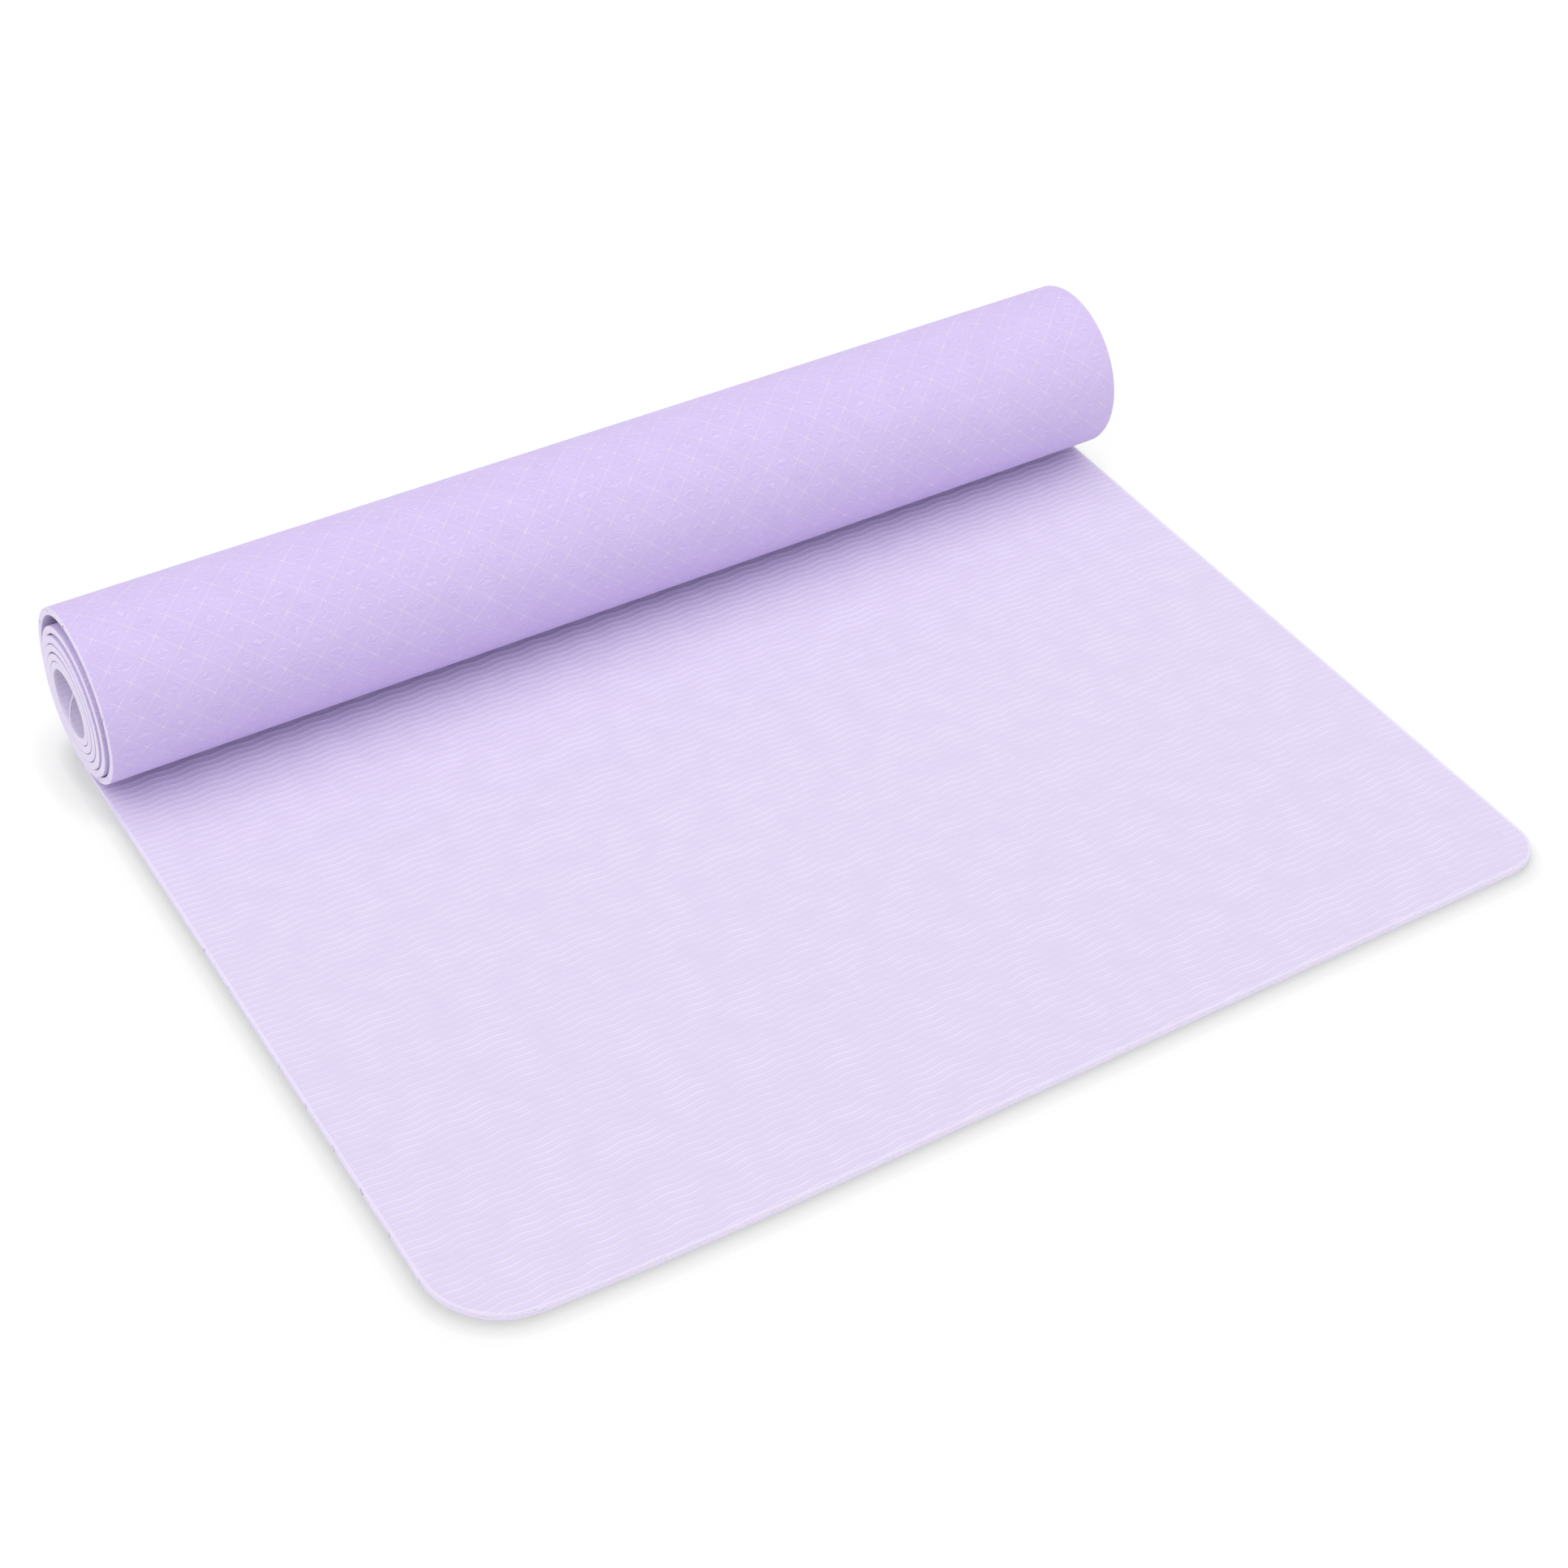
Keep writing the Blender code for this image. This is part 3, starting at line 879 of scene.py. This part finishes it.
inner_quilt = inner_turns.add_face(
    "quilted",
    [
        (quilt_columns, fine_rows, quilt_height, 1, 0),
        (plain_columns, plain_rows, 0 * plain_rows, 0, 0),
    ],
)
inner_turns.close(inner_ribs, inner_quilt, inner_end=True)
inner_turns = inner_turns.make("inner_turns")
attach(inner_turns, "inner_coil")
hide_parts("inner_coil")

# ---------------------------------------------------------------------------------------------
# The floor and the light: a white studio floor with a soft shadow close to the mat, a broad key
# light from almost overhead and a little from the front left, and even light from all round.
# ---------------------------------------------------------------------------------------------
floor_half = 8
floor_level = -0.0002
floor_roughness = 0.9
floor_bounce = (0.90, 0.90, 0.90, 1)
floor_seen = (0.20, 0.20, 0.20, 1)
floor_glow = 0.82

# The shadow is what the mat closes in above the floor, looking up and away from the light. It has
# a narrow dark part and a wider pale one.
shade_direction = (0.50, 0.43, 0.75)
shade_reaches = (0.010, 0.024)
closed_in_fully = 0.48
shade_curve = 0.8
shade_depth = 0.17


def seen_directly(tree):
    """1 for the camera's own rays, and 1 for every ray that shows the studio's white."""
    rays = add_node(tree, "ShaderNodeLightPath")
    camera_ray = rays.outputs["Is Camera Ray"]
    seen = number(tree, "MAXIMUM", camera_ray, rays.outputs["Is Glossy Ray"])
    return camera_ray, number(tree, "MAXIMUM", seen, rays.outputs["Is Transmission Ray"])


def make_floor():
    """The floor, which bounces light as white paper does and glows a little less in the shadow."""
    mesh = bpy.data.meshes.new("studio_floor")
    sides = ((-1, -1), (1, -1), (1, 1), (-1, 1))
    corners = [(floor_half * x, floor_half * y, floor_level) for x, y in sides]
    mesh.from_pydata(corners, [], [(0, 1, 2, 3)])
    floor = bpy.data.objects.new("studio_floor", mesh)
    bpy.context.scene.collection.objects.link(floor)
    material = bpy.data.materials.new("white studio floor")
    material.use_nodes = True
    tree = material.node_tree
    shader = tree.nodes["Principled BSDF"]
    shader.inputs["Roughness"].default_value = floor_roughness
    shader.inputs["Specular IOR Level"].default_value = 0
    leaning = add_node(tree, "ShaderNodeCombineXYZ")
    for socket, lean in zip(leaning.inputs, shade_direction):
        socket.default_value = lean
    shades = []
    for reach in shade_reaches:
        near_mat = add_node(tree, "ShaderNodeAmbientOcclusion", samples=16)
        near_mat.inputs["Distance"].default_value = reach
        tree.links.new(leaning.outputs[0], near_mat.inputs["Normal"])
        closed_in = number(tree, "SUBTRACT", 1, near_mat.outputs["AO"])
        closed_in = number(tree, "MINIMUM", number(tree, "DIVIDE", closed_in, closed_in_fully), 1)
        curved = number(tree, "POWER", closed_in, shade_curve)
        shades.append(number(tree, "MULTIPLY", curved, shade_depth))
    shade = number(tree, "ADD", *shades)
    camera_ray, seen = seen_directly(tree)
    floor_colour = blend_colour(tree, camera_ray, floor_bounce, floor_seen)
    tree.links.new(floor_colour, shader.inputs["Base Color"])
    glow = add_node(tree, "ShaderNodeEmission")
    glow.inputs["Color"].default_value = (1, 1, 1, 1)
    strength = number(tree, "MULTIPLY", seen, number(tree, "SUBTRACT", floor_glow, shade))
    tree.links.new(strength, glow.inputs["Strength"])
    both = add_node(tree, "ShaderNodeAddShader")
    tree.links.new(shader.outputs[0], both.inputs[0])
    tree.links.new(glow.outputs[0], both.inputs[1])
    tree.links.new(both.outputs[0], tree.nodes["Material Output"].inputs["Surface"])
    mesh.materials.append(material)


make_floor()

key_strength = 1.40
key_spread_degrees = 80
key_towards = (0.20, 0.16, -1.0)
key_lamp = bpy.data.lights.new("top_key", "SUN")
key_lamp.angle = math.radians(key_spread_degrees)
key_lamp.energy = key_strength
top_key = bpy.data.objects.new("top_key", key_lamp)
top_key.rotation_euler = Vector(key_towards).to_track_quat("-Z", "Y").to_euler()
bpy.context.scene.collection.objects.link(top_key)

# The light from all round is weaker than the white that is seen
even_light = 0.62
world = bpy.data.worlds.new("white studio")
bpy.context.scene.world = world
world.use_nodes = True
sky = world.node_tree
background = sky.nodes["Background"]
background.inputs["Color"].default_value = (1, 1, 1, 1)
_, seen = seen_directly(sky)
sky.links.new(ramp(sky, seen, 0, 1, even_light, 1), background.inputs["Strength"])

bpy.context.scene.view_settings.view_transform = "Standard"

# The camera looks down on the mat from the front left
camera_place = (-0.6084, -0.9282, 0.9928)
camera_turn_degrees = -33.109
camera_dip_degrees = 41.709
camera_roll_degrees = 2.162
camera_data = bpy.data.cameras.new("camera")
camera_data.lens = 66.55
camera_data.sensor_width = 36
camera = bpy.data.objects.new("camera", camera_data)
turned = Matrix.Rotation(math.radians(camera_turn_degrees), 4, "Z")
tipped = Matrix.Rotation(math.radians(90 - camera_dip_degrees), 4, "X")
rolled = Matrix.Rotation(math.radians(camera_roll_degrees), 4, "Z")
camera.matrix_world = Matrix.Translation(camera_place) @ turned @ tipped @ rolled
bpy.context.scene.collection.objects.link(camera)
bpy.context.scene.camera = camera
